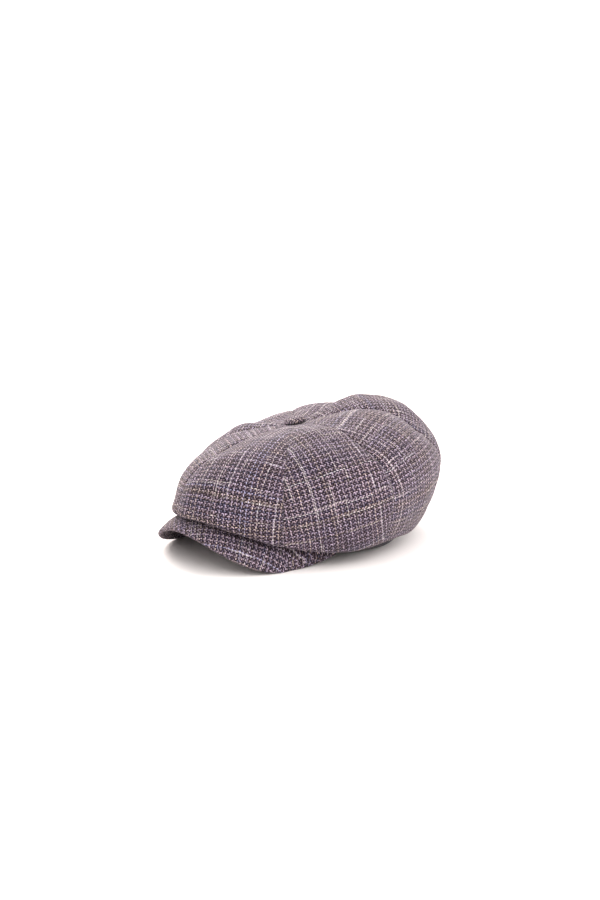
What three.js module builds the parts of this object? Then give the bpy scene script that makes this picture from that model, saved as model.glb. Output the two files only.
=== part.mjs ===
import * as THREE from "three";

// Flat cap of the full, eight-panel newsboy kind.
// Millimetres, +Z up, peak towards -Y, wearer's left towards +X.
// Angles round the cap run from the centre front (0) over the wearer's left (90) to the back (180).

// Head opening and the plain band round it
const head_length = 196;
const head_width = 164;
const band_wall = 1.8;
const band_height = 24;
const front_lift = 38;
const flat_until = -60;

// Cloth and sewing
const cloth = 1.5;
const gap = 0.3;

// Crown: furthest reach from the middle of the opening, and height
const crown_front = 142;
const crown_side = 118;
const crown_back = 139;
const crown_high = 121;
const lean_left = 15;
const lean_from = 0.15;
const lean_span = 0.65;
const pinch_front_left = 0.11;
const pinch_front_right = 0.19;
const pinch_back = 0.02;
const pinch_bend = 1.4;
const back_bend = 1.2;
const hem_above_rim = 8;
const hem_drop_front = 1;

// Button
const button_radius = 10.5;
const button_high = 6;
const shank_radius = 2.6;
const shank_long = 4.5;
const button_forward = 7;
const button_left = 2;

// Peak
const peak_reach = 145.5;
const peak_half_width = 72;
const peak_centre = 78;
const peak_arch = 34;
const peak_arch_bend = 1.05;
const peak_thick = 4.2;
const peak_half_angle = 72;
const peak_sweep = 125;
const peak_tip_high = 8;
const peak_crown = 2;
const peak_sew_up = 0.5;
const peak_edge_round = 0.4;

// Mesh steps
const panel_columns = 8;
const rows_per_span = 3;
const band_steps = 72;
const peak_steps = 36;
const peak_rows = 8;

const wool = { color: 0x8d8690, roughness: 0.95, metalness: 0 };
const band_cloth = { color: 0x3b373e, roughness: 0.9, metalness: 0 };

// Rows of the crown from the middle of the top down to the hem.
// reach and high are shares of the crown's reach and height at the front, side and back.
// arch says how narrow the raised front is. out and up are the panels' swell between the seams.
const crown_rows = [
  { row: "tip", reach: [0.032, 0.038, 0.032], high: [0.91, 0.91, 0.91], arch: 2.6, out: 0, up: 0 },
  { row: "rim", reach: [0.1, 0.12, 0.1], high: [0.9, 0.905, 0.93], arch: 2.6, out: 0, up: 0.4 },
  { row: "dome", reach: [0.24, 0.29, 0.26], high: [0.875, 0.895, 0.965], arch: 2.6, out: 0, up: 3.5 },
  { row: "top", reach: [0.46, 0.53, 0.5], high: [0.82, 0.855, 0.985], arch: 2.6, out: 0.5, up: 6.5 },
  { row: "shoulder", reach: [0.7, 0.78, 0.76], high: [0.74, 0.73, 0.905], arch: 2.6, out: 2, up: 8 },
  { row: "brow", reach: [0.86, 0.94, 0.9], high: [0.64, 0.62, 0.78], arch: 2.6, out: 3.5, up: 5 },
  { row: "wall", reach: [0.95, 1.02, 1], high: [0.53, 0.49, 0.61], arch: 2.6, out: 4, up: 1 },
  { row: "low", reach: [0.995, 1.01, 0.965], high: [0.43, 0.31, 0.39], arch: 4.5, out: 3, up: -1 },
  { row: "lip", reach: [0.965, 0.94, 0.855], high: [0.375, 0.145, 0.18], arch: 5, out: 2, up: -1 },
  { row: "under", reach: [0.88, 0.85, 0.775], high: [0.37, 0.11, 0.085], arch: 2.4, out: 0.5, up: 0 },
];

// Panels between neighbouring seams, with how full each one stands in its middle
const panels = [
  { name: "panel_front_left", seam: 0, full: 0.9 },
  { name: "panel_side_front_left", seam: 1, full: 1 },
  { name: "panel_side_back_left", seam: 2, full: 1 },
  { name: "panel_back_left", seam: 3, full: 1.05 },
  { name: "panel_back_right", seam: 4, full: 0.35 },
  { name: "panel_side_back_right", seam: 5, full: 0.6 },
  { name: "panel_side_front_right", seam: 6, full: 0.8 },
  { name: "panel_front_right", seam: 7, full: 0.65 },
];

// Seams, from the centre front round over the wearer's left: how full the crown stands at each one,
// and the angle in degrees where it lies on the settled cap, at its foot and at its top
const seams = [
  { full: 0.45, foot: -4.5, top: -4.5 },
  { full: 0.75, foot: 40.5, top: 40.5 },
  { full: 0.7, foot: 90, top: 83 },
  { full: 0.35, foot: 138, top: 141 },
  { full: -0.35, foot: 189, top: 191 },
  { full: 0.05, foot: 231, top: 231 },
  { full: 0.25, foot: 272, top: 272 },
  { full: 0.15, foot: 310, top: 308 },
];
const seam_turns_from = 3;
const seam_turns_over = 3.5;

const last_row = crown_rows.length;
const hem_side = head_width / 2 + band_wall + gap;
const hem_front = head_length / 2 + band_wall + gap;

const clamp01 = (value) => Math.min(1, Math.max(0, value));
const ease = (value) => {
  const share = clamp01(value);
  return share * share * (3 - 2 * share);
};
const mix = (from, to, share) => from + (to - from) * share;

// Height of the band's lower rim, which lies flat at the back and rises over the arch of the peak
function rimHeight(forward) {
  const share = clamp01((forward - flat_until) / (head_length / 2 - flat_until));
  return front_lift * share * share;
}

// One control point of the crown on a row, at an angle round the cap
function controlPoint(row, turn, swell) {
  const ahead = Math.cos(turn);
  const aside = Math.sin(turn);
  if (row === last_row) {
    const forward = hem_front * ahead;
    const lift = rimHeight(forward);
    const drop = hem_drop_front * (lift / front_lift);
    return new THREE.Vector3(hem_side * aside, -forward, lift + hem_above_rim - drop);
  }
  const { reach, high, arch, out, up } = crown_rows[row];
  const is_front = ahead > 0;
  const share_end = ahead * ahead;
  const end_reach = is_front ? reach[0] * crown_front : reach[2] * crown_back;
  const narrow_front = aside > 0 ? pinch_front_left : pinch_front_right;
  const pinch = is_front ? narrow_front : pinch_back;
  const corner = Math.pow(Math.abs(Math.sin(2 * turn)), pinch_bend);
  let radius = share_end * end_reach + (1 - share_end) * reach[1] * crown_side;
  radius *= 1 - pinch * corner * reach[1];
  radius += out * swell;
  const share_high = is_front ? Math.pow(ahead, arch) : Math.pow(-ahead, back_bend);
  const end_high = is_front ? high[0] : high[2];
  const height = crown_high * (share_high * end_high + (1 - share_high) * high[1]) + up * swell;
  const near_middle = 1 - Math.min(1, reach[1]);
  const x = radius * aside + button_left * near_middle;
  const y = -radius * ahead - button_forward * near_middle;
  const soft = ease((height / crown_high - lean_from) / lean_span);
  return new THREE.Vector3(x, y, height + lean_left * (x / crown_side) * soft);
}

// Point of the crown's outer face: a smooth curve through the control points of the rows
function crownPoint(along, turn, swell) {
  const row = Math.min(last_row - 1, Math.floor(along));
  const share = along - row;
  const second = controlPoint(row, turn, swell);
  const third = controlPoint(row + 1, turn, swell);
  const first = row > 0
    ? controlPoint(row - 1, turn, swell)
    : second.clone().multiplyScalar(2).sub(third);
  const fourth = row + 1 < last_row
    ? controlPoint(row + 2, turn, swell)
    : third.clone().multiplyScalar(2).sub(second);
  const square = share * share;
  const cube = square * share;
  const point = new THREE.Vector3();
  point.addScaledVector(first, 0.5 * (-share + 2 * square - cube));
  point.addScaledVector(second, 0.5 * (2 - 5 * square + 3 * cube));
  point.addScaledVector(third, 0.5 * (share + 4 * square - 3 * cube));
  point.addScaledVector(fourth, 0.5 * (cube - square));
  return point;
}

// Moves a point that would cut into the band straight out to its sewing line
function clearOfBand(point) {
  const share = Math.hypot(point.x / hem_side, point.y / hem_front);
  if (share < 1 && share > 0.8) {
    point.x /= share;
    point.y /= share;
  }
  return point;
}

// Outward direction of the crown without its swell, the same on both sides of a seam
function crownNormal(along, turn) {
  const step = 0.02;
  const above = crownPoint(Math.max(0, along - step), turn, 0);
  const below = crownPoint(Math.min(last_row, along + step), turn, 0);
  const before = crownPoint(along, turn - step, 0);
  const after = crownPoint(along, turn + step, 0);
  const down = below.sub(above);
  const round = after.sub(before);
  return down.cross(round).normalize();
}

// Closed body from a grid of outer points and a grid of inner points
function shellGeometry(outer, inner) {
  const rows = outer.length;
  const columns = outer[0].length;
  const positions = [];
  for (const grid of [outer, inner]) {
    for (const line of grid) {
      for (const point of line) {
        positions.push(point.x, point.y, point.z);
      }
    }
  }
  const index = [];
  const outerAt = (row, column) => row * columns + column;
  const innerAt = (row, column) => rows * columns + row * columns + column;
  const quad = (a, b, c, d) => index.push(a, b, c, a, c, d);
  for (let row = 0; row < rows - 1; row++) {
    for (let column = 0; column < columns - 1; column++) {
      const next_row = row + 1;
      const next = column + 1;
      quad(outerAt(row, column), outerAt(next_row, column), outerAt(next_row, next), outerAt(row, next));
      quad(innerAt(row, column), innerAt(row, next), innerAt(next_row, next), innerAt(next_row, column));
    }
  }
  for (let row = 0; row < rows - 1; row++) {
    const last = columns - 1;
    quad(outerAt(row, 0), innerAt(row, 0), innerAt(row + 1, 0), outerAt(row + 1, 0));
    quad(outerAt(row, last), outerAt(row + 1, last), innerAt(row + 1, last), innerAt(row, last));
  }
  for (let column = 0; column < columns - 1; column++) {
    const last = rows - 1;
    quad(outerAt(0, column), outerAt(0, column + 1), innerAt(0, column + 1), innerAt(0, column));
    quad(outerAt(last, column), innerAt(last, column), innerAt(last, column + 1), outerAt(last, column + 1));
  }
  const geometry = new THREE.BufferGeometry();
  geometry.setAttribute("position", new THREE.Float32BufferAttribute(positions, 3));
  geometry.setIndex(index);
  geometry.computeVertexNormals();
  return geometry;
}

// Angle of a seam at a height on the crown
function seamAngle(number, along) {
  const { foot, top } = seams[number % seams.length];
  const whole_turns = number >= seams.length ? 360 : 0;
  const share = ease((along - seam_turns_from) / seam_turns_over);
  return THREE.MathUtils.degToRad(mix(top, foot, share) + whole_turns);
}

// One cloth panel between two seams, from under the button to the hem at the band
function panelGeometry(seam, full) {
  const first_full = seams[seam].full;
  const second_full = seams[(seam + 1) % seams.length].full;
  const rise = full - (first_full + second_full) / 2;
  const outer = [];
  const inner = [];
  const steps = last_row * rows_per_span;
  for (let step = 0; step <= steps; step++) {
    const along = step / rows_per_span;
    const from = seamAngle(seam, along);
    const to = seamAngle(seam + 1, along);
    const across = crownPoint(along, (from + to) / 2, 0);
    const radius = Math.hypot(across.x, across.y + button_forward * ease(1 - along / 3));
    const half_gap = Math.asin(Math.min(0.5, gap / 2 / radius));
    const outer_line = [];
    const inner_line = [];
    for (let column = 0; column <= panel_columns; column++) {
      const share = column / panel_columns;
      const turn = mix(from + half_gap, to - half_gap, share);
      const side = 2 * share - 1;
      const fullness = mix(first_full, second_full, share) + rise * (1 - side * side);
      const point = crownPoint(along, turn, fullness);
      const inside = point.clone().addScaledVector(crownNormal(along, turn), -cloth);
      outer_line.push(point);
      inner_line.push(along > last_row - 1 ? clearOfBand(inside) : inside);
    }
    outer.push(outer_line);
    inner.push(inner_line);
  }
  return shellGeometry(outer, inner);
}

// Closed ring or bar from cross-sections, each a loop of points in the same order
function sweepGeometry(sections, is_ring) {
  const count = sections[0].length;
  const positions = [];
  for (const section of sections) {
    for (const point of section) {
      positions.push(point.x, point.y, point.z);
    }
  }
  const index = [];
  const spans = is_ring ? sections.length : sections.length - 1;
  for (let span = 0; span < spans; span++) {
    const here = span * count;
    const there = ((span + 1) % sections.length) * count;
    for (let step = 0; step < count; step++) {
      const next = (step + 1) % count;
      index.push(here + step, there + step, there + next, here + step, there + next, here + next);
    }
  }
  if (!is_ring) {
    const last = (sections.length - 1) * count;
    for (let step = 1; step < count - 1; step++) {
      index.push(0, step, step + 1);
      index.push(last, last + step + 1, last + step);
    }
  }
  const geometry = new THREE.BufferGeometry();
  geometry.setAttribute("position", new THREE.Float32BufferAttribute(positions, 3));
  geometry.setIndex(index);
  geometry.computeVertexNormals();
  return geometry;
}

// Band round the head opening, upright, with its lower rim following the rise over the peak
function bandGeometry() {
  const sections = [];
  for (let step = 0; step < band_steps; step++) {
    const turn = (step / band_steps) * 2 * Math.PI;
    const aside = Math.sin(turn);
    const ahead = Math.cos(turn);
    const low = rimHeight((head_length / 2) * ahead);
    const at = (wall, height) => new THREE.Vector3(
      (head_width / 2 + wall) * aside,
      -(head_length / 2 + wall) * ahead,
      height,
    );
    sections.push([
      at(band_wall, low),
      at(band_wall, low + band_height),
      at(0, low + band_height),
      at(0, low),
    ]);
  }
  return sweepGeometry(sections, true);
}

// Middle line of the peak's thickness, from its sewn edge (0) to its free edge (1)
function peakPoint(side, out) {
  const turn = THREE.MathUtils.degToRad(peak_half_angle) * side;
  const sewn_x = hem_side * Math.sin(turn);
  const sewn_forward = hem_front * Math.cos(turn);
  const sewn_z = rimHeight(sewn_forward) + peak_sew_up + peak_thick / 2;
  const swing = THREE.MathUtils.degToRad(peak_sweep) * side;
  const past = Math.abs(side) * peak_sweep > 90;
  let free_x = peak_half_width * Math.sin(swing);
  let free_forward = peak_centre + (peak_reach - peak_centre) * Math.cos(swing);
  const width_share = clamp01(Math.abs(free_x) / peak_half_width);
  const arch = Math.pow(Math.cos((Math.PI / 2) * width_share), peak_arch_bend);
  const resting = (peak_thick / 2) * peak_edge_round;
  let free_z = resting + peak_arch * arch;
  if (past) {
    const tail = (Math.abs(side) * peak_sweep - 90) / (peak_sweep - 90);
    const tip_turn = THREE.MathUtils.degToRad(peak_half_angle);
    const tip_x = hem_side * Math.sin(tip_turn) + 1;
    const tip_forward = hem_front * Math.cos(tip_turn) + 1;
    free_x = Math.sign(side) * mix(peak_half_width, tip_x, tail);
    free_forward = mix(peak_centre, tip_forward, tail);
    free_z = mix(resting, peak_tip_high, tail * tail);
  }
  const rise = peak_crown * Math.sin(Math.PI * out) * (1 - 0.6 * Math.abs(side));
  return new THREE.Vector3(
    mix(sewn_x, free_x, out),
    -mix(sewn_forward, free_forward, out),
    mix(sewn_z, free_z, out) + rise,
  );
}

function peakNormal(side, out) {
  const step = 0.01;
  const near = peakPoint(side, Math.max(0, out - step));
  const far = peakPoint(side, Math.min(1, out + step));
  const right = peakPoint(Math.max(-1, side - step), out);
  const left = peakPoint(Math.min(1, side + step), out);
  const normal = far.sub(near).cross(left.sub(right)).normalize();
  return normal.z < 0 ? normal.negate() : normal;
}

// Peak: an arched crescent of even thickness with a rounded free edge
function peakGeometry() {
  const sections = [];
  const half = peak_thick / 2;
  for (let step = 0; step <= peak_steps; step++) {
    const share = (step / peak_steps) * 2 - 1;
    const side = Math.sin((share * Math.PI) / 2) * 0.35 + share * 0.65;
    const upper = [];
    const lower = [];
    for (let row = 0; row <= peak_rows; row++) {
      const out = row / peak_rows;
      const point = peakPoint(side, out);
      const normal = peakNormal(side, out);
      upper.push(clearOfBand(point.clone().addScaledVector(normal, half)));
      lower.push(clearOfBand(point.clone().addScaledVector(normal, -half)));
    }
    const edge = peakPoint(side, 1);
    const edge_normal = peakNormal(side, 1);
    const outward = edge.clone().sub(peakPoint(side, 0.9)).normalize();
    const edge_upper = upper[peak_rows];
    const edge_lower = lower[peak_rows];
    edge_upper.copy(edge).addScaledVector(edge_normal, half * 0.7).addScaledVector(outward, -half * 0.3);
    edge_lower.copy(edge).addScaledVector(edge_normal, -half * 0.7).addScaledVector(outward, -half * 0.3);
    const rim = edge.clone().addScaledVector(outward, half * peak_edge_round);
    sections.push([...lower, rim, ...upper.reverse()]);
  }
  return sweepGeometry(sections, false);
}

// Covered button: a low dome with a short shank that goes down where the panels meet
function buttonGeometry() {
  const profile = [
    [0, -shank_long],
    [shank_radius, -shank_long],
    [shank_radius, 0],
    [button_radius * 0.8, 0],
    [button_radius * 0.95, button_high * 0.08],
    [button_radius, button_high * 0.28],
    [button_radius * 0.93, button_high * 0.55],
    [button_radius * 0.7, button_high * 0.83],
    [button_radius * 0.38, button_high * 0.97],
    [0, button_high],
  ];
  const points = profile.map(([radius, height]) => new THREE.Vector2(radius, height));
  const geometry = new THREE.LatheGeometry(points, 20);
  geometry.rotateX(Math.PI / 2);
  return geometry;
}

function piece(name, geometry, look) {
  const mesh = new THREE.Mesh(geometry, new THREE.MeshStandardMaterial(look));
  mesh.name = name;
  return mesh;
}

const cap = new THREE.Group();

for (const { name, seam, full } of panels) {
  cap.add(piece(name, panelGeometry(seam, full), wool));
}

// The button leans with the top of the crown round it
const round_button = [0, 1, 2, 3].map((quarter) => crownPoint(1, (quarter * Math.PI) / 2, 0));
const middle = round_button.reduce((sum, point) => sum.add(point), new THREE.Vector3()).divideScalar(4);
const across_x = round_button[1].clone().sub(round_button[3]);
const across_y = round_button[2].clone().sub(round_button[0]);
const top_normal = across_x.cross(across_y).normalize();
const button = piece("button", buttonGeometry(), wool);
button.quaternion.setFromUnitVectors(new THREE.Vector3(0, 0, 1), top_normal);
button.position.copy(middle).addScaledVector(top_normal, 1);
cap.add(button);

cap.add(piece("peak", peakGeometry(), wool));
cap.add(piece("band", bandGeometry(), band_cloth));

// The cap stands on its lowest points, with the origin under the middle of its outline
cap.updateMatrixWorld(true);
const outline = new THREE.Box3().setFromObject(cap, true);
const centre = outline.getCenter(new THREE.Vector3());
cap.position.set(-centre.x, -centre.y, -outline.min.z);

export default cap;
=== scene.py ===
import math

import bpy
import numpy as np
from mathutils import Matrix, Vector, noise


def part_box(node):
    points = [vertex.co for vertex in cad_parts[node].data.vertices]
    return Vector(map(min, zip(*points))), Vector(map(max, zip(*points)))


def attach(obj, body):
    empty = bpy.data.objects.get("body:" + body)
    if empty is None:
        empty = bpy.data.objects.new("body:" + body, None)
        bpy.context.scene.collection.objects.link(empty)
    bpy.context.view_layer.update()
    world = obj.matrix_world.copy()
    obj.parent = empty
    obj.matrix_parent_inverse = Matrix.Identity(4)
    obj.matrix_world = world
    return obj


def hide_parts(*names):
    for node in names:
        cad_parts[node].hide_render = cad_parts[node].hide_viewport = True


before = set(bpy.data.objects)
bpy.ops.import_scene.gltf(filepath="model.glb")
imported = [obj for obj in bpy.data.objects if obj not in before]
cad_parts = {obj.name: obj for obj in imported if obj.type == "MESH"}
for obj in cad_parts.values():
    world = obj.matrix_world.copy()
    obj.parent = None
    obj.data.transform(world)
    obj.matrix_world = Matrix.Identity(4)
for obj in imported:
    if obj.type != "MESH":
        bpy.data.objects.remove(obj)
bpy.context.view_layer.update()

# Flat cap of the full, eight-panel newsboy kind, dressed in woven wool.
# Sizes are in millimetres and are brought to metres when a mesh is made.
# Angles round the cap run from the centre front (0) over the wearer's left (90) to the back (180).
MM = 0.001

# Head opening and band
head_length = 196
head_width = 164
band_wall = 1.8
band_height = 24
band_skin = 0.25
band_swell = 0.25
front_lift = 38
flat_until = -60

# Cloth and sewing
cloth = 1.5
hem_gap = 0.3
seam_count = 8
seam_deep = 0.45
seam_wide = 1.4
seam_round = 1.3
seam_half_gap = 0.03
seam_turns_from = 3
seam_turns_over = 3.5
sunk_top_fade = 2
sunk_hem_fade = 1.2
uneven = 1.1
uneven_size = 24
uneven_fine_share = 0.4
uneven_fine_part = 2.5
uneven_top_fade = 3
uneven_hem_fade = 2

# Crown
crown_front = 142
crown_side = 118
crown_back = 139
crown_high = 121
lean_left = 15
lean_from = 0.15
lean_span = 0.65
pinch_front_left = 0.11
pinch_front_right = 0.19
pinch_back = 0.02
pinch_bend = 1.4
back_bend = 1.2
hem_above_rim = 8
hem_drop_front = 1

# Button
button_radius = 10.5
button_high = 4.6
button_forward = 7
button_left = 2
button_above = 1.4
gather_high = 0.12
gather_count = 14
gather_from = 0.85
gather_below = 0.5

# Peak
peak_reach = 145.5
peak_half_width = 72
peak_centre = 78
peak_arch = 34
peak_arch_bend = 1.05
peak_thick = 4.2
peak_half_angle = 72
peak_sweep = 125
peak_tip_high = 8
peak_crown = 2
peak_bulge = 3.5
peak_crown_fade = 0.6
peak_bulge_fade = 0.3
peak_bulge_bend = 1.6
peak_lift_right = 2.5
peak_lift_at = -0.8
peak_lift_wide = 0.25
peak_tip_clear = 1
peak_sew_up = 0.5
peak_edge_round = 0.4
peak_edge_out = 1.6
peak_edge_thin = 0.85
peak_thins_over = 4
peak_ends_fine = 0.35
peak_above_floor = 0.05
band_inside = 0.8
peak_grain = 45

# Yarns
dark_yarn = (0.029, 0.019, 0.024, 1)
navy_yarn = (0.026, 0.021, 0.042, 1)
plum_yarn = (0.052, 0.03, 0.042, 1)
pale_yarn = (0.189, 0.143, 0.159, 1)
lilac_yarn = (0.172, 0.141, 0.187, 1)
tan_yarn = (0.206, 0.163, 0.149, 1)
blue_yarn = (0.158, 0.147, 0.208, 1)
cream_yarn = (0.45, 0.387, 0.369, 1)
white_yarn = (0.486, 0.45, 0.468, 1)
# Band colours: dark in the rib hollows and pale on the ribs, painted shade
rib_dark = (0.012, 0.01, 0.014, 1)
rib_pale = (0.04, 0.034, 0.042, 1)
rib_wide = 1.2
rib_share = 0.6
rib_fibre_scale = 2200.0

# Threads, counted in sixes. Each draws random values from 0 to 1 that pick its colour and tone.
thread_repeat = 6.0
bright_order = 5.0
between_dark = 1.0
same_order = 0.1
next_order = 1.1
second_draw = 53.7
third_draw = 91.3
navy_draw = (0.55, 0.75)
plum_draw = (0.7, 0.9)
tan_draw = (0.75, 0.95)
blue_draw = 0.06
slub_fade = (0.42, 0.58)
threads_apart = 3.77
change_along = 0.03
lively_shift = (31.0, 17.0, 0.0)
lively_scale = 4.0
lively_tone = (1.2, 0.1)
drawn_tone = 0.5
bright_tone = 1.1
crown_slubs = 0.1
small_slubs = 0.05

# Weave
warp_width = 0.8
weft_width = 0.85
warp_seed = 3.0
weft_seed = 211.0
weave_repeat = 4.0
weave_over = 2.0
slub_cover = 0.25
wander_scale = 0.12
wander_far = (2.0, 2.0, 0.0)
fibre_scale = 2.6
fibre_detail = 3.0
fibre_high = 0.4
crossing_bend = 1.7
crossing_tone = (0.9, 0.72)
# Painted shade: how much darker each thread is at its edges than on its crown
thread_edge_shade_tone = (0.4, 0.58)
fuzz_tone = (0.7, 0.65)

# Rows of the crown from the middle of the top down to the hem, as in the solids.
# reach and high are shares of the crown's sizes at its front, side and back, arch bends the front row,
# and out and up are how far full cloth swells, in millimetres.
crown_rows = [
    dict(row="tip", reach=[0.032, 0.038, 0.032], high=[0.91, 0.91, 0.91], arch=2.6, out=0, up=0),
    dict(row="rim", reach=[0.1, 0.12, 0.1], high=[0.9, 0.905, 0.93], arch=2.6, out=0, up=0.4),
    dict(row="dome", reach=[0.24, 0.29, 0.26], high=[0.875, 0.895, 0.965], arch=2.6, out=0, up=3.5),
    dict(row="top", reach=[0.46, 0.53, 0.5], high=[0.82, 0.855, 0.985], arch=2.6, out=0.5, up=6.5),
    dict(row="shoulder", reach=[0.7, 0.78, 0.76], high=[0.74, 0.73, 0.905], arch=2.6, out=2, up=8),
    dict(row="brow", reach=[0.86, 0.94, 0.9], high=[0.64, 0.62, 0.78], arch=2.6, out=3.5, up=5),
    dict(row="wall", reach=[0.95, 1.02, 1], high=[0.53, 0.49, 0.61], arch=2.6, out=4, up=1),
    dict(row="low", reach=[0.995, 1.01, 0.965], high=[0.43, 0.31, 0.39], arch=4.5, out=3, up=-1),
    dict(row="lip", reach=[0.965, 0.94, 0.855], high=[0.375, 0.145, 0.18], arch=5, out=2, up=-1),
    dict(row="under", reach=[0.88, 0.85, 0.775], high=[0.37, 0.11, 0.085], arch=2.4, out=0.5, up=0),
]

# Panels between neighbouring seams, with how full each one stands against the others
panels = [
    dict(name="front_left", node="panel_front_left", full=0.9, grain=0),
    dict(name="side_front_left", node="panel_side_front_left", full=1.0, grain=-12),
    dict(name="side_back_left", node="panel_side_back_left", full=1.0, grain=0),
    dict(name="back_left", node="panel_back_left", full=1.05, grain=0),
    dict(name="back_right", node="panel_back_right", full=0.35, grain=4),
    dict(name="side_back_right", node="panel_side_back_right", full=0.6, grain=-5),
    dict(name="side_front_right", node="panel_side_front_right", full=0.8, grain=6),
    dict(name="front_right", node="panel_front_right", full=0.65, grain=-3),
]

# Fullness of the crown at each seam, from the centre front round over the wearer's left
seam_full = [0.45, 0.75, 0.7, 0.35, -0.35, 0.05, 0.25, 0.15]

# Where each seam stands on the settled cap, in degrees from the centre front, at its foot and at its top
seam_foot = [-4.5, 40.5, 90, 138, 189, 231, 272, 310]
seam_top = [-4.5, 40.5, 83, 141, 191, 231, 272, 308]

# Places where the soft cloth has settled out (or in, below zero) from its sewn shape.
# turn and wide are degrees round the cap, row and tall count rows down it, out is in millimetres.
settled = [
    dict(where="front right wall", turn=335, wide=20, row=6.5, tall=0.9, out=-3.0),
    dict(where="front right lip", turn=316, wide=22, row=8.2, tall=1.6, out=-3.8),
    dict(where="side back right top", turn=252, wide=16, row=2.2, tall=0.9, out=-2.4),
    dict(where="back left rise", turn=173, wide=9, row=2.7, tall=0.8, out=1.9),
    dict(where="back left top", turn=141, wide=16, row=4.6, tall=1.0, out=-6.0),
    dict(where="back left wall", turn=133, wide=16, row=6.1, tall=1.0, out=2.2),
    dict(where="side back left top", turn=118, wide=14, row=3.6, tall=1.2, out=1.2),
    dict(where="left lip", turn=97, wide=18, row=8.1, tall=1.1, out=-3.2),
]

last_row = len(crown_rows)
hem_side = head_width / 2 + band_wall + hem_gap
hem_front = head_length / 2 + band_wall + hem_gap

# The solids' own place gives the middle of the head opening
band_low, band_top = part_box("band")
opening = (np.array(band_low) + np.array(band_top)) / 2
opening[2] = 0


def ease(value):
    share = np.clip(value, 0, 1)
    return share * share * (3 - 2 * share)


def mix(start, end, share):
    return start + (end - start) * share


def rim_height(forward):
    share = np.clip((forward - flat_until) / (head_length / 2 - flat_until), 0, 1)
    return front_lift * share * share


def control_points(row, turn, swell):
    """Control points of one row of the crown, at angles round the cap."""
    ahead = np.cos(turn)
    aside = np.sin(turn)
    if row == last_row:
        forward = hem_front * ahead
        lift = rim_height(forward)
        height = lift + hem_above_rim - hem_drop_front * (lift / front_lift)
        return np.stack([hem_side * aside, -forward, height], -1)
    shape = crown_rows[row]
    reach = shape["reach"]
    high = shape["high"]
    in_front = ahead > 0
    share_end = ahead * ahead
    end_reach = np.where(in_front, reach[0] * crown_front, reach[2] * crown_back)
    pinch_front = np.where(aside > 0, pinch_front_left, pinch_front_right)
    pinch = np.where(in_front, pinch_front, pinch_back)
    corner = np.abs(np.sin(2 * turn)) ** pinch_bend
    radius = share_end * end_reach + (1 - share_end) * reach[1] * crown_side
    radius = radius * (1 - pinch * corner * reach[1]) + shape["out"] * swell
    share_high = np.where(in_front, np.abs(ahead) ** shape["arch"], np.abs(ahead) ** back_bend)
    end_high = np.where(in_front, high[0], high[2])
    height = crown_high * mix(high[1], end_high, share_high) + shape["up"] * swell
    near_middle = 1 - min(1, reach[1])
    x = radius * aside + button_left * near_middle
    y = -radius * ahead - button_forward * near_middle
    soft = ease((height / crown_high - lean_from) / lean_span)
    return np.stack([x, y, height + lean_left * (x / crown_side) * soft], -1)


def through(first, second, third, fourth, share):
    """Smooth curve through the second and third of four points."""
    square = share * share
    cube = square * share
    return 0.5 * (
        first * (-share + 2 * square - cube)
        + second * (2 - 5 * square + 3 * cube)
        + third * (share + 4 * square - 3 * cube)
        + fourth * (cube - square)
    )


def crown_points(along, turn, swell):
    """Points of the crown's outer face on one line round it."""
    row = min(last_row - 1, int(along))
    second = control_points(row, turn, swell)
    third = control_points(row + 1, turn, swell)
    first = control_points(row - 1, turn, swell) if row > 0 else 2 * second - third
    fourth = control_points(row + 2, turn, swell) if row + 1 < last_row else 2 * third - second
    return through(first, second, third, fourth, along - row)


def crown_normals(along, turn):
    """Outward directions of the crown without its swell, the same on both sides of a seam."""
    step = 0.02
    above = crown_points(max(0, along - step), turn, 0)
    below = crown_points(min(last_row, along + step), turn, 0)
    before = crown_points(along, turn - step, 0)
    after = crown_points(along, turn + step, 0)
    normal = np.cross(below - above, after - before)
    return normal / np.linalg.norm(normal, axis=-1, keepdims=True)


def lengths_along(points):
    """Distance of each point from the first one, along the line that they make."""
    return np.concatenate([[0], np.cumsum(np.linalg.norm(np.diff(points, axis=0), axis=-1))])


def first_flat(points):
    """Grid rolled out row by row, as a start for laying it flat."""
    middle = points.shape[1] // 2
    across = np.linalg.norm(np.diff(points, axis=1), axis=-1)
    down = np.linalg.norm(np.diff(points[:, middle], axis=0), axis=-1)
    flat = np.zeros(points.shape[:2] + (2,))
    flat[1:, :, 1] = -np.cumsum(down)[:, None]
    flat[:, 1:, 0] = np.cumsum(across, axis=1)
    flat[:, :, 0] -= flat[:, middle:middle + 1, 0]
    return flat


def lay_flat(points, flat, rounds):
    """Brings every edge and diagonal of a flat grid to its sewn length, a little in each round."""
    eager = 1.4
    whole = slice(None)
    pairs = [
        ((whole, slice(1, None)), (whole, slice(None, -1))),
        ((slice(1, None), whole), (slice(None, -1), whole)),
        ((slice(1, None), slice(1, None)), (slice(None, -1), slice(None, -1))),
        ((slice(1, None), slice(None, -1)), (slice(None, -1), slice(1, None))),
    ]
    sewn = [np.linalg.norm(points[a] - points[b], axis=-1) for a, b in pairs]
    for _ in range(rounds):
        pull = np.zeros_like(flat)
        count = np.zeros(flat.shape[:2] + (1,))
        for (a, b), length in zip(pairs, sewn):
            step = flat[a] - flat[b]
            now = np.linalg.norm(step, axis=-1) + 1e-9
            move = step * ((length - now) / now)[..., None] * 0.5
            pull[a] += move
            pull[b] -= move
            count[a] += 1
            count[b] += 1
        flat = flat + pull / count * eager
    return flat


def refine(coarse, steps):
    """Finer grid through a coarse one, along its first axis."""
    count = len(coarse)
    fine = []
    for row in range(count - 1):
        second, third = coarse[row], coarse[row + 1]
        first = coarse[row - 1] if row > 0 else 2 * second - third
        fourth = coarse[row + 2] if row + 2 < count else 2 * third - second
        fine += [through(first, second, third, fourth, step / steps) for step in range(steps)]
    fine.append(coarse[-1])
    return np.array(fine)


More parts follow.
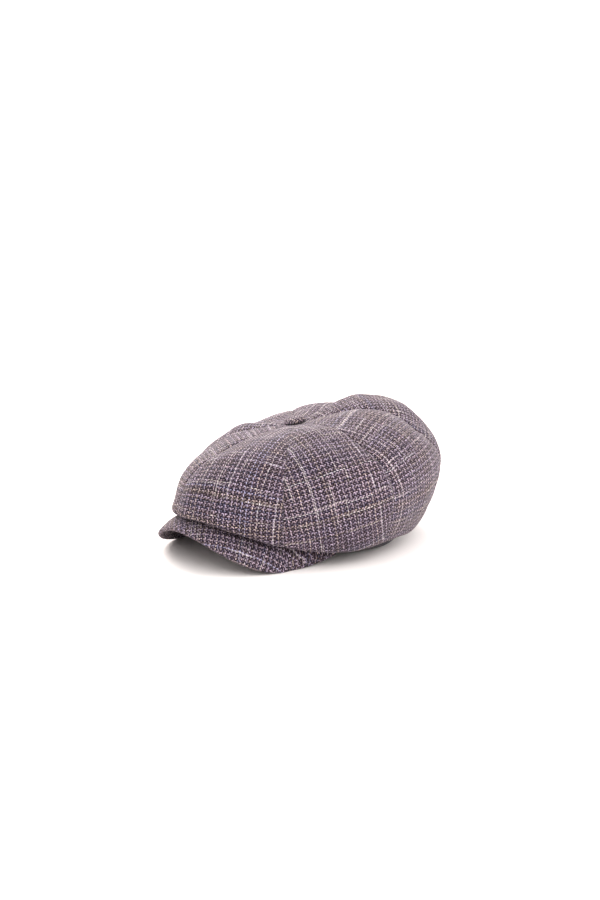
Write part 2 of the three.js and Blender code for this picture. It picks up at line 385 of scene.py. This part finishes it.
def turned(flat, degrees):
    angle = math.radians(degrees)
    turn = np.array([[math.cos(angle), -math.sin(angle)], [math.sin(angle), math.cos(angle)]])
    return flat @ turn.T


def cloth_cut(points, row_steps, column_steps, rounds=500):
    """Place of every grid point on the flat cut, in millimetres, with the grain down the middle."""
    coarse = points[::row_steps, ::column_steps]
    flat = lay_flat(coarse, first_flat(coarse), rounds)
    middle = flat.shape[1] // 2
    flat -= flat[0, middle]
    lean = flat[-1, middle]
    flat = turned(flat, -math.degrees(math.atan2(lean[0], -lean[1])))
    tall = refine(flat, row_steps)
    return refine(tall.transpose(1, 0, 2), column_steps).transpose(1, 0, 2)


def waves(points, size):
    """Soft unevenness from -1 to 1 at points in millimetres."""
    return np.array([noise.noise(Vector(point) / size) for point in points])


def start_clean():
    if bpy.context.object and bpy.context.object.mode != "OBJECT":
        bpy.ops.object.mode_set(mode="OBJECT")
    bpy.ops.object.select_all(action="DESELECT")


def cloth_grid(name, points, cut):
    """Cloth piece from a plain grid whose points are moved to their sewn places."""
    rows, columns = points.shape[:2]
    start_clean()
    bpy.ops.mesh.primitive_grid_add(
        x_subdivisions=columns - 1, y_subdivisions=rows - 1, size=2, calc_uvs=True
    )
    piece = bpy.context.object
    piece.name = name
    mesh = piece.data
    mesh.name = name
    place = np.zeros(len(mesh.vertices) * 3)
    mesh.vertices.foreach_get("co", place)
    place = place.reshape(-1, 3)
    column = np.rint((place[:, 0] + 1) / 2 * (columns - 1)).astype(int)
    row = np.rint((1 - place[:, 1]) / 2 * (rows - 1)).astype(int)
    mesh.vertices.foreach_set("co", (points[row, column] * MM + opening).ravel())
    layer = mesh.uv_layers[0]
    layer.name = "cloth"
    corner = np.zeros(len(mesh.loops), int)
    mesh.loops.foreach_get("vertex_index", corner)
    layer.data.foreach_set("uv", (cut[row[corner], column[corner]] * MM).ravel())
    mesh.update()
    return piece


def apply_all(piece):
    start_clean()
    piece.select_set(True)
    bpy.context.view_layer.objects.active = piece
    for modifier in list(piece.modifiers):
        bpy.ops.object.modifier_apply(modifier=modifier.name)


def smooth(piece):
    for polygon in piece.data.polygons:
        polygon.use_smooth = True


def give_wall(piece, thickness):
    """Makes a face a wall, from its modelled side inwards."""
    wall = piece.modifiers.new("wall", "SOLIDIFY")
    wall.thickness = thickness * MM
    wall.offset = -1
    apply_all(piece)
    smooth(piece)


def close_up(piece, merge=None, fill=True):
    """Merges doubled points, fills the open ends and turns the faces outwards."""
    start_clean()
    piece.select_set(True)
    bpy.context.view_layer.objects.active = piece
    bpy.ops.object.mode_set(mode="EDIT")
    if merge:
        bpy.ops.mesh.select_all(action="SELECT")
        bpy.ops.mesh.remove_doubles(threshold=merge * MM)
    if fill:
        bpy.ops.mesh.select_all(action="DESELECT")
        bpy.ops.mesh.select_mode(type="EDGE")
        bpy.ops.mesh.select_non_manifold()
        bpy.ops.mesh.edge_face_add()
    bpy.ops.mesh.select_all(action="SELECT")
    bpy.ops.mesh.normals_make_consistent(inside=False)
    bpy.ops.object.mode_set(mode="OBJECT")


def dress(piece, material, slot, *nodes):
    piece.data.materials.clear()
    piece.data.materials.append(material)
    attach(piece, "root")
    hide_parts(*nodes)


# Nodes of the materials

def link(tree, source, target):
    if hasattr(source, "is_output"):
        tree.links.new(source, target)
    else:
        target.default_value = source


def math_node(tree, operation, *values):
    node = tree.nodes.new("ShaderNodeMath")
    node.operation = operation
    for socket, value in zip(node.inputs, values):
        link(tree, value, socket)
    return node.outputs[0]


def vector_node(tree, operation, *values):
    node = tree.nodes.new("ShaderNodeVectorMath")
    node.operation = operation
    for socket, value in zip(node.inputs, values):
        link(tree, value, socket)
    return node.outputs[0]


def colour_mix(tree, share, first, second, blend="MIX"):
    node = tree.nodes.new("ShaderNodeMix")
    node.data_type = "RGBA"
    node.blend_type = blend
    colour_in = [socket for socket in node.inputs if socket.type == "RGBA"]
    link(tree, share, node.inputs[0])
    link(tree, first, colour_in[0])
    link(tree, second, colour_in[1])
    return next(socket for socket in node.outputs if socket.type == "RGBA")


def band_of(tree, value, low, high):
    """0 below low and 1 above high, smooth between."""
    node = tree.nodes.new("ShaderNodeMapRange")
    node.interpolation_type = "SMOOTHSTEP"
    link(tree, value, node.inputs["Value"])
    node.inputs["From Min"].default_value = low
    node.inputs["From Max"].default_value = high
    return node.outputs[0]


def noise_node(tree, place, scale, detail=2.0):
    node = tree.nodes.new("ShaderNodeTexNoise")
    node.noise_dimensions = "2D"
    link(tree, place, node.inputs["Vector"])
    node.inputs["Scale"].default_value = scale
    node.inputs["Detail"].default_value = detail
    return node


def chance(tree, value, seed):
    """Random value from 0 to 1 for each whole number."""
    node = tree.nodes.new("ShaderNodeTexWhiteNoise")
    node.noise_dimensions = "1D"
    link(tree, math_node(tree, "ADD", value, seed), node.inputs["W"])
    return node.outputs["Value"]


def chance_at(tree, place):
    """Random value from 0 to 1 for each pair of whole numbers."""
    node = tree.nodes.new("ShaderNodeTexWhiteNoise")
    node.noise_dimensions = "2D"
    link(tree, place, node.inputs["Vector"])
    return node.outputs["Value"]


def pair_of(tree, x, y):
    node = tree.nodes.new("ShaderNodeCombineXYZ")
    link(tree, x, node.inputs[0])
    link(tree, y, node.inputs[1])
    return node.outputs[0]


def new_group(name, inputs, outputs):
    tree = bpy.data.node_groups.new(name, "ShaderNodeTree")
    for label, kind, value in inputs:
        socket = tree.interface.new_socket(label, in_out="INPUT", socket_type=kind)
        if value is not None:
            socket.default_value = value
    for label, kind in outputs:
        tree.interface.new_socket(label, in_out="OUTPUT", socket_type=kind)
    return tree, tree.nodes.new("NodeGroupInput"), tree.nodes.new("NodeGroupOutput")


def make_yarn_group():
    """One set of threads. Warps are dark with one pale in six, wefts are pale with two dark in six.

    The last of each six is brighter in both sets, and some threads swell into pale slubs.
    """
    tree, given, made = new_group(
        "yarn",
        [
            ("Across", "NodeSocketFloat", 0.0),
            ("Along", "NodeSocketFloat", 0.0),
            ("Seed", "NodeSocketFloat", 0.0),
            ("Slub Share", "NodeSocketFloat", crown_slubs),
            ("Is Weft", "NodeSocketFloat", 0.0),
        ],
        [
            ("Colour", "NodeSocketColor"),
            ("Profile", "NodeSocketFloat"),
            ("Thread", "NodeSocketFloat"),
            ("Slub", "NodeSocketFloat"),
        ],
    )
    across = given.outputs["Across"]
    thread = math_node(tree, "FLOOR", across)
    inside = math_node(tree, "FRACT", across)
    order = math_node(tree, "FLOORED_MODULO", thread, thread_repeat)
    is_weft = given.outputs["Is Weft"]
    is_bright = math_node(tree, "COMPARE", order, bright_order, same_order)
    # The two dark wefts lie either side of a pale one
    near_dark = math_node(tree, "COMPARE", order, between_dark, next_order)
    in_between = math_node(tree, "COMPARE", order, between_dark, same_order)
    dark_weft = math_node(tree, "SUBTRACT", near_dark, in_between)
    pale_weft = math_node(tree, "MULTIPLY", math_node(tree, "SUBTRACT", 1.0, dark_weft), is_weft)
    is_warp = math_node(tree, "SUBTRACT", 1.0, is_weft)
    is_pale = math_node(tree, "MULTIPLY_ADD", is_bright, is_warp, pale_weft)
    seed = given.outputs["Seed"]
    first = chance(tree, thread, seed)
    second = chance(tree, thread, math_node(tree, "ADD", seed, second_draw))
    third = chance(tree, thread, math_node(tree, "ADD", seed, third_draw))
    own_place = math_node(tree, "MULTIPLY", thread, threads_apart)
    slow = math_node(tree, "MULTIPLY", given.outputs["Along"], change_along)
    stretch = pair_of(tree, own_place, slow)
    fade = noise_node(tree, stretch, 1.0).outputs[0]
    shifted = vector_node(tree, "ADD", stretch, lively_shift)
    lively = noise_node(tree, shifted, lively_scale).outputs[0]
    dark = colour_mix(tree, band_of(tree, second, *navy_draw), dark_yarn, navy_yarn)
    dark = colour_mix(tree, band_of(tree, third, *plum_draw), dark, plum_yarn)
    pale = colour_mix(tree, second, pale_yarn, lilac_yarn)
    pale = colour_mix(tree, band_of(tree, third, *tan_draw), pale, tan_yarn)
    pale = colour_mix(tree, math_node(tree, "LESS_THAN", third, blue_draw), pale, blue_yarn)
    base = colour_mix(tree, is_pale, dark, pale)
    tone = math_node(tree, "MULTIPLY_ADD", lively, *lively_tone)
    tone = math_node(tree, "MULTIPLY_ADD", first, drawn_tone, tone)
    tone = math_node(tree, "MULTIPLY_ADD", is_bright, bright_tone, tone)
    base = colour_mix(tree, 1.0, base, tone, "MULTIPLY")
    threshold = math_node(tree, "SUBTRACT", 1.0, given.outputs["Slub Share"])
    is_slub = math_node(tree, "GREATER_THAN", first, threshold)
    strength = band_of(tree, fade, *slub_fade)
    slub = math_node(tree, "MULTIPLY", is_slub, strength)
    bright = colour_mix(tree, third, cream_yarn, white_yarn)
    link(tree, colour_mix(tree, slub, base, bright), made.inputs["Colour"])
    bent = math_node(tree, "MULTIPLY_ADD", inside, 2.0, -1.0)
    profile = math_node(tree, "SUBTRACT", 1.0, math_node(tree, "MULTIPLY", bent, bent))
    link(tree, profile, made.inputs["Profile"])
    link(tree, thread, made.inputs["Thread"])
    link(tree, slub, made.inputs["Slub"])
    return tree


def make_tweed_group(yarn):
    """Small stepped check of a two-up two-down weave, with uneven thick threads, and painted shade that
    darkens each thread towards its edges.
    """
    tree, given, made = new_group(
        "tweed_weave",
        [
            ("Cloth", "NodeSocketVector", None),
            ("Warp Width", "NodeSocketFloat", warp_width),
            ("Weft Width", "NodeSocketFloat", weft_width),
            ("Slub Share", "NodeSocketFloat", crown_slubs),
            ("Seed", "NodeSocketFloat", 0.0),
        ],
        [("Colour", "NodeSocketColor"), ("Height", "NodeSocketFloat")],
    )
    cut = vector_node(tree, "SCALE", given.outputs["Cloth"])
    cut.node.inputs["Scale"].default_value = 1 / MM
    wander = noise_node(tree, cut, wander_scale).outputs["Color"]
    wander = vector_node(tree, "SUBTRACT", wander, (0.5, 0.5, 0.5))
    wander = vector_node(tree, "MULTIPLY", wander, wander_far)
    cut = vector_node(tree, "ADD", cut, wander)
    widths = pair_of(tree, given.outputs["Warp Width"], given.outputs["Weft Width"])
    threads = vector_node(tree, "DIVIDE", cut, widths)
    parts = tree.nodes.new("ShaderNodeSeparateXYZ")
    link(tree, threads, parts.inputs[0])
    u, v = parts.outputs[0], parts.outputs[1]
    warp = tree.nodes.new("ShaderNodeGroup")
    weft = tree.nodes.new("ShaderNodeGroup")
    sets = [(warp, u, v, warp_seed, 0.0), (weft, v, u, weft_seed, 1.0)]
    for node, across, along, seed, is_weft in sets:
        node.node_tree = yarn
        link(tree, across, node.inputs["Across"])
        link(tree, along, node.inputs["Along"])
        link(tree, math_node(tree, "ADD", given.outputs["Seed"], seed), node.inputs["Seed"])
        link(tree, given.outputs["Slub Share"], node.inputs["Slub Share"])
        node.inputs["Is Weft"].default_value = is_weft
    step = math_node(tree, "SUBTRACT", warp.outputs["Thread"], weft.outputs["Thread"])
    order = math_node(tree, "FLOORED_MODULO", step, weave_repeat)
    warp_over = math_node(tree, "LESS_THAN", order, weave_over)
    thicker = math_node(tree, "SUBTRACT", warp.outputs["Slub"], weft.outputs["Slub"])
    warp_over = math_node(tree, "MULTIPLY_ADD", thicker, slub_cover, warp_over)
    warp_over = math_node(tree, "MINIMUM", math_node(tree, "MAXIMUM", warp_over, 0.0), 1.0)
    colour = colour_mix(tree, warp_over, weft.outputs["Colour"], warp.outputs["Colour"])
    weft_over = math_node(tree, "SUBTRACT", 1.0, warp_over)
    warp_high = math_node(tree, "MULTIPLY", warp.outputs["Profile"], warp_over)
    weft_high = math_node(tree, "MULTIPLY", weft.outputs["Profile"], weft_over)
    profile = math_node(tree, "ADD", warp_high, weft_high)
    fibre = noise_node(tree, cut, fibre_scale, fibre_detail).outputs[0]
    crossing = chance_at(tree, pair_of(tree, warp.outputs["Thread"], weft.outputs["Thread"]))
    crossing = math_node(tree, "POWER", crossing, crossing_bend)
    mottled = math_node(tree, "MULTIPLY_ADD", crossing, *crossing_tone)
    # Painted shade: each thread is darker towards its edges, where it dips beside its neighbours. The
    # fibre and crossing tones are random.
    painted_thread_shade = math_node(tree, "MULTIPLY_ADD", profile, *thread_edge_shade_tone)
    fuzz = math_node(tree, "MULTIPLY_ADD", fibre, *fuzz_tone)
    painted_shade_and_mottling = math_node(tree, "MULTIPLY", math_node(tree, "MULTIPLY", painted_thread_shade, fuzz), mottled)
    colour = colour_mix(tree, 1.0, colour, painted_shade_and_mottling, "MULTIPLY")
    link(tree, colour, made.inputs["Colour"])
    link(tree, math_node(tree, "MULTIPLY_ADD", fibre, fibre_high, profile), made.inputs["Height"])
    return tree


def cloth_place(tree):
    node = tree.nodes.new("ShaderNodeUVMap")
    node.uv_map = "cloth"
    return node.outputs[0]


def new_material(name):
    material = bpy.data.materials.new(name)
    material.use_nodes = True
    return material, material.node_tree, material.node_tree.nodes["Principled BSDF"]


def make_tweed(name, weave, seed, slub_share):
    material, tree, shader = new_material(name)
    node = tree.nodes.new("ShaderNodeGroup")
    node.node_tree = weave
    link(tree, cloth_place(tree), node.inputs["Cloth"])
    node.inputs["Seed"].default_value = seed
    node.inputs["Slub Share"].default_value = slub_share
    link(tree, node.outputs["Colour"], shader.inputs["Base Color"])
    bump = tree.nodes.new("ShaderNodeBump")
    bump.inputs["Strength"].default_value = 0.5
    bump.inputs["Distance"].default_value = 0.00035
    link(tree, node.outputs["Height"], bump.inputs["Height"])
    link(tree, bump.outputs[0], shader.inputs["Normal"])
    shader.inputs["Roughness"].default_value = 0.9
    shader.inputs["Specular IOR Level"].default_value = 0.2
    shader.inputs["Sheen Weight"].default_value = 0.17
    shader.inputs["Sheen Roughness"].default_value = 0.45
    shader.inputs["Sheen Tint"].default_value = (1.0, 0.93, 0.92, 1)
    return material


def make_band_cloth(name):
    """Plain dark band with fine upright ribs, with painted shade in the hollows between the ribs and
    random fibre tone.
    """
    material, tree, shader = new_material(name)
    parts = tree.nodes.new("ShaderNodeSeparateXYZ")
    link(tree, cloth_place(tree), parts.inputs[0])
    ribs = math_node(tree, "MULTIPLY", parts.outputs[0], 2 * math.pi / (rib_wide * MM))
    wave = math_node(tree, "MULTIPLY_ADD", math_node(tree, "SINE", ribs), 0.5, 0.5)
    fibre = noise_node(tree, cloth_place(tree), rib_fibre_scale).outputs[0]
    # Painted shade: the band is paler on each rib and darker in the hollows between, following the same
    # wave as its bumps. The fibre noise is random tone.
    painted_rib_shading = math_node(tree, "MULTIPLY", wave, rib_share)
    share = math_node(tree, "ADD", painted_rib_shading, math_node(tree, "MULTIPLY", fibre, 1 - rib_share))
    colour = colour_mix(tree, share, rib_dark, rib_pale)
    link(tree, colour, shader.inputs["Base Color"])
    bump = tree.nodes.new("ShaderNodeBump")
    bump.inputs["Strength"].default_value = 0.4
    bump.inputs["Distance"].default_value = 0.0003
    link(tree, share, bump.inputs["Height"])
    link(tree, bump.outputs[0], shader.inputs["Normal"])
    shader.inputs["Roughness"].default_value = 0.75
    shader.inputs["Sheen Weight"].default_value = 0.2
    return material


yarn_group = make_yarn_group()
tweed_group = make_tweed_group(yarn_group)
band_cloth = make_band_cloth("band_cloth")

# Crown panels

panel_columns = 48
panel_rows_per_span = 14
cut_column_step = 6
panel_seed = 5
panel_seed_step = 17.0


def fullness(seam, full, share):
    """Fullness across a panel, from one seam to the next."""
    first = seam_full[seam]
    second = seam_full[(seam + 1) % seam_count]
    side = 2 * share - 1
    return mix(first, second, share) + (full - (first + second) / 2) * (1 - side * side)


def seam_angle(seam, along):
    """Angle of a seam on one line round the crown."""
    whole_turns = 360 * (seam // seam_count)
    number = seam % seam_count
    share = ease((along - seam_turns_from) / seam_turns_over)
    return math.radians(mix(seam_top[number], seam_foot[number], share) + whole_turns)


def settling(along, turn):
    """How far the cloth has settled out from its sewn shape on one line round the crown."""
    out = np.zeros_like(turn)
    for place in settled:
        aside = ((np.degrees(turn) - place["turn"] + 180) % 360 - 180) / place["wide"]
        below = (along - place["row"]) / place["tall"]
        out += place["out"] * np.exp(-(aside**2 + below**2))
    return out


def panel_points(seam, full):
    """Outer face of one panel, sunk a little along its seams."""
    rows = []
    for step in range(last_row * panel_rows_per_span + 1):
        along = step / panel_rows_per_span
        share = np.linspace(0, 1, panel_columns + 1)
        side = 2 * share - 1
        turn = mix(seam_angle(seam, along), seam_angle(seam + 1, along), share)
        face = crown_points(along, turn, fullness(seam, full, share))
        normal = crown_normals(along, turn)
        wide = np.linalg.norm(np.diff(face, axis=0), axis=-1).sum() / 2
        from_seam = (1 - np.abs(side)) * wide + seam_half_gap
        above_hem = last_row - along
        sunk = seam_deep * np.exp(-((from_seam / seam_wide) ** seam_round))
        sunk = sunk * ease(along / sunk_top_fade) * ease(above_hem / sunk_hem_fade)
        fine = uneven_fine_share * uneven * waves(face, uneven_size / uneven_fine_part)
        soft = uneven * waves(face, uneven_size) + fine
        soft = soft * ease(along / uneven_top_fade) * ease(above_hem / uneven_hem_fade)
        rows.append(face + normal * (settling(along, turn) + soft - sunk)[:, None])
    return np.array(rows)


for number, panel in enumerate(panels):
    points = panel_points(number, panel["full"])
    cut = cloth_cut(points, panel_rows_per_span // 2, cut_column_step)
    piece = cloth_grid("crown_" + panel["name"], points, turned(cut, panel["grain"]))
    give_wall(piece, cloth)
    seed = panel_seed + panel_seed_step * number
    material = make_tweed("tweed_" + panel["name"], tweed_group, seed, crown_slubs)
    dress(piece, material, "wool", panel["node"])


# Peak

peak_steps = 120
peak_rows = 26
edge_steps = 8
peak_flat_rounds = 120
peak_seed = 301.0


def peak_point(side, out):
    turn = math.radians(peak_half_angle) * side
    sewn_x = hem_side * np.sin(turn)
    sewn_forward = hem_front * np.cos(turn)
    sewn_z = rim_height(sewn_forward) + peak_sew_up + peak_thick / 2
    swing = math.radians(peak_sweep) * side
    free_x = peak_half_width * np.sin(swing)
    free_forward = peak_centre + (peak_reach - peak_centre) * np.cos(swing)
    width_share = np.clip(np.abs(free_x) / peak_half_width, 0, 1)
    resting = peak_thick / 2 * peak_edge_round
    free_z = resting + peak_arch * np.cos(math.pi / 2 * width_share) ** peak_arch_bend
    # Past a quarter turn the free edge runs straight in to the tip beside the band
    tail = np.clip((np.abs(side) * peak_sweep - 90) / (peak_sweep - 90), 0, 1)
    tip_turn = math.radians(peak_half_angle)
    past = np.abs(side) * peak_sweep > 90
    tip_x = hem_side * math.sin(tip_turn) + peak_tip_clear
    tip_forward = hem_front * math.cos(tip_turn) + peak_tip_clear
    free_x = np.where(past, np.sign(side) * mix(peak_half_width, tip_x, tail), free_x)
    free_forward = np.where(past, mix(peak_centre, tip_forward, tail), free_forward)
    free_z = np.where(past, mix(resting, peak_tip_high, tail * tail), free_z)
    lifted = peak_lift_right * np.exp(-(((side - peak_lift_at) / peak_lift_wide) ** 2))
    rise = (peak_crown * (1 - peak_crown_fade * np.abs(side)) + lifted) * np.sin(math.pi * out)
    bulge = peak_bulge * (1 - peak_bulge_fade * np.abs(side))
    rise = rise + bulge * math.sin(math.pi * out**peak_bulge_bend)
    x = mix(sewn_x, free_x, out)
    y = -mix(sewn_forward, free_forward, out)
    return np.stack([x, y, mix(sewn_z, free_z, out) + rise], -1)


def peak_normal(side, out):
    step = 0.01
    near = peak_point(side, max(0, out - step))
    far = peak_point(side, min(1, out + step))
    right = peak_point(np.maximum(-1, side - step), out)
    left = peak_point(np.minimum(1, side + step), out)
    normal = np.cross(far - near, left - right)
    normal /= np.linalg.norm(normal, axis=-1, keepdims=True)
    return np.where(normal[:, 2:] < 0, -normal, normal)


def clear_of_band(points):
    """Moves what stands inside the band out to its outer face."""
    share = np.hypot(points[:, 0] / hem_side, points[:, 1] / hem_front)
    close = (share < 1) & (share > band_inside)
    scale = np.where(close, share, 1)
    out = points.copy()
    out[:, 0] /= scale
    out[:, 1] /= scale
    return out


def peak_wrap():
    """Rows of the peak's face from its sewn edge over the top, round the free edge and back below."""
    share = np.linspace(-1, 1, peak_steps + 1)
    side = mix(share, np.sin(share * math.pi / 2), peak_ends_fine)
    half = peak_thick / 2
    upper = []
    lower = []
    for row in range(peak_rows + 1):
        out = row / peak_rows
        point = peak_point(side, out)
        normal = peak_normal(side, out)
        thicken = peak_thins_over * math.sqrt(max(0, 1 - out))
        thin = half * min(1, mix(peak_edge_thin, 1, thicken))
        upper.append(clear_of_band(point + normal * thin))
        lower.append(clear_of_band(point - normal * thin))
    edge = peak_point(side, 1)
    normal = peak_normal(side, 1)
    outward = edge - peak_point(side, 0.9)
    outward /= np.linalg.norm(outward, axis=-1, keepdims=True)
    round_edge = []
    thin = half * peak_edge_thin
    reach = half * peak_edge_round * peak_edge_out
    for step in range(1, edge_steps):
        angle = math.pi / 2 - math.pi * step / edge_steps
        round_edge.append(edge + normal * math.sin(angle) * thin + outward * math.cos(angle) * reach)
    wrapped = np.array(upper + round_edge + lower[::-1])
    wrapped[:, :, 2] = np.maximum(wrapped[:, :, 2], peak_above_floor)
    return wrapped


def peak_cut(points):
    """Flat cut of the wrapped peak, its arch laid out, with the grain turned across it."""
    top = points[: peak_rows + 1]
    across = np.hypot(np.diff(top[:, :, 0], axis=1), np.diff(top[:, :, 2], axis=1))
    flat = np.zeros(top.shape[:2] + (2,))
    flat[:, 1:, 0] = np.cumsum(across, axis=1)
    flat[:, :, 0] -= flat[:, peak_steps // 2, 0][:, None]
    flat[:, :, 1] = top[:, :, 1]
    flat = lay_flat(top, flat, peak_flat_rounds)
    rest = [flat[-1]]
    outward = flat[-1] - flat[-4]
    outward /= np.linalg.norm(outward, axis=-1, keepdims=True)
    for row in range(peak_rows + 1, len(points)):
        step = np.linalg.norm(points[row] - points[row - 1], axis=-1, keepdims=True)
        rest.append(rest[-1] + outward * step)
    flat = np.concatenate([flat, np.array(rest[1:])])
    return turned(flat, peak_grain)


peak_places = peak_wrap()
peak = cloth_grid("peak_covered", peak_places, peak_cut(peak_places))
close_up(peak)
smooth(peak)
dress(peak, make_tweed("tweed_peak", tweed_group, peak_seed, small_slubs), "wool", "peak")

# Band

band_steps = 144
band_rows = 8


def band_points():
    """Outer face of the band, a little swollen between its edges, from its top down to the rim."""
    turn = np.linspace(0, 2 * math.pi, band_steps + 1)
    low = rim_height(head_length / 2 * np.cos(turn))
    rows = []
    for step in range(band_rows + 1):
        high = band_height * (1 - step / band_rows)
        wall = band_wall - band_skin + band_swell * math.sin(math.pi * step / band_rows)
        x = (head_width / 2 + wall) * np.sin(turn)
        y = -(head_length / 2 + wall) * np.cos(turn)
        rows.append(np.stack([x, y, low + high], -1))
    return np.array(rows)


band_places = band_points()
band_flat = np.zeros(band_places.shape[:2] + (2,))
band_flat[:, :, 0] = lengths_along(band_places[0])
band_flat[:, :, 1] = band_places[:, :, 2]
band = cloth_grid("band_plain", band_places, band_flat)
close_up(band, merge=0.1, fill=False)
give_wall(band, band_wall - band_skin)
dress(band, band_cloth, "band_cloth", "band")

# Button

quarter = np.array([0, 1, 2, 3]) * math.pi / 2
ring = crown_points(1, quarter, 0)
button_middle = ring.mean(axis=0)
button_up = np.cross(ring[1] - ring[3], ring[2] - ring[0])
button_up /= np.linalg.norm(button_up)
button_steps = 64
button_rows_per_point = 3
button_seed = 401.0
button_turns = np.linspace(0, 2 * math.pi, button_steps + 1)


def button_points():
    """Domed face of the button, from its middle over the rolled rim to its under side."""
    profile = [
        (0.03, 1.0), (0.2, 0.99), (0.38, 0.965), (0.55, 0.91), (0.7, 0.82), (0.82, 0.7),
        (0.92, 0.52), (0.985, 0.34), (1.0, 0.2), (0.96, 0.07), (0.85, 0.0), (0.5, 0.0), (0.2, 0.0),
    ]
    outline = refine(np.array(profile)[:, None, :], button_rows_per_point)[:, 0]
    side = np.cross([0, 1, 0], button_up)
    side /= np.linalg.norm(side)
    ahead = np.cross(button_up, side)
    rows = []
    for radius, high in outline:
        gathered = ease((radius - gather_from) / (1 - gather_from)) if high < gather_below else 0
        reach = radius * button_radius + gather_high * np.sin(gather_count * button_turns) * gathered
        rows.append(
            button_middle
            + button_up * (button_above + high * button_high)
            + np.outer(np.cos(button_turns) * reach, side)
            + np.outer(np.sin(button_turns) * reach, ahead)
        )
    return np.array(rows)


button_places = button_points()
from_middle = lengths_along(button_places[:, 0])
button_flat = np.stack(
    [np.outer(from_middle, np.cos(button_turns)), np.outer(from_middle, np.sin(button_turns))], -1
)
button = cloth_grid("button_covered", button_places, button_flat)
close_up(button, merge=0.02)
smooth(button)
dress(button, make_tweed("tweed_button", tweed_group, button_seed, small_slubs), "wool", "button")

# Floor, light and camera

start_clean()
bpy.ops.mesh.primitive_plane_add(size=40, location=(0, 0, 0))
floor = bpy.context.object
floor.name = "floor"
floor_look, _, floor_shader = new_material("pale_floor")
floor_shader.inputs["Base Color"].default_value = (0.9, 0.858, 0.838, 1)
floor_shader.inputs["Roughness"].default_value = 0.7
floor_shader.inputs["Specular IOR Level"].default_value = 0.2
floor.data.materials.append(floor_look)

world = bpy.data.worlds.new("studio")
world.use_nodes = True
sky = world.node_tree.nodes["Background"]
sky.inputs["Color"].default_value = (1.0, 0.995, 0.99, 1)
sky.inputs["Strength"].default_value = 1.08
bpy.context.scene.world = world
bpy.context.scene.view_settings.view_transform = "Standard"
bpy.context.scene.view_settings.look = "Medium High Contrast"


def soft_light(name, place, aim, size, power, colour=(1, 1, 1)):
    data = bpy.data.lights.new(name, "AREA")
    data.shape = "SQUARE"
    data.size = size
    data.energy = power
    data.color = colour
    lamp = bpy.data.objects.new(name, data)
    bpy.context.scene.collection.objects.link(lamp)
    lamp.location = place
    lamp.rotation_mode = "QUATERNION"
    lamp.rotation_quaternion = (Vector(aim) - Vector(place)).to_track_quat("-Z", "Y")


soft_light("window", place=(-1.5, 0.5, 1.0), aim=(0, 0, 0.05), size=1.2, power=40, colour=(1, 0.93, 0.9))
soft_light("overhead", place=(0.2, -0.2, 2.0), aim=(0, 0, 0.05), size=1.6, power=4)
soft_light("side", place=(1.3, 0.9, 0.9), aim=(0, 0, 0.03), size=1.2, power=12)
soft_light("front", place=(1.35, -0.75, 1.1), aim=(0, 0, 0.05), size=1.2, power=13)

camera_azimuth = 47
camera_elevation = 17
camera_distance = 1.65
look_azimuth = 46.967
look_elevation = 14.2


def away(azimuth, elevation):
    """Direction from the cap towards a place round it and above it, in degrees."""
    around = math.radians(azimuth)
    above = math.radians(elevation)
    level = math.cos(above)
    return Vector((math.sin(around) * level, -math.cos(around) * level, math.sin(above)))


camera_data = bpy.data.cameras.new("camera")
camera_data.lens = 70
camera_data.sensor_width = 36
camera = bpy.data.objects.new("camera", camera_data)
bpy.context.scene.collection.objects.link(camera)
camera.location = Vector(opening) + away(camera_azimuth, camera_elevation) * camera_distance
camera.rotation_mode = "QUATERNION"
camera.rotation_quaternion = (-away(look_azimuth, look_elevation)).to_track_quat("-Z", "Y")
bpy.context.scene.camera = camera

bpy.context.view_layer.update()
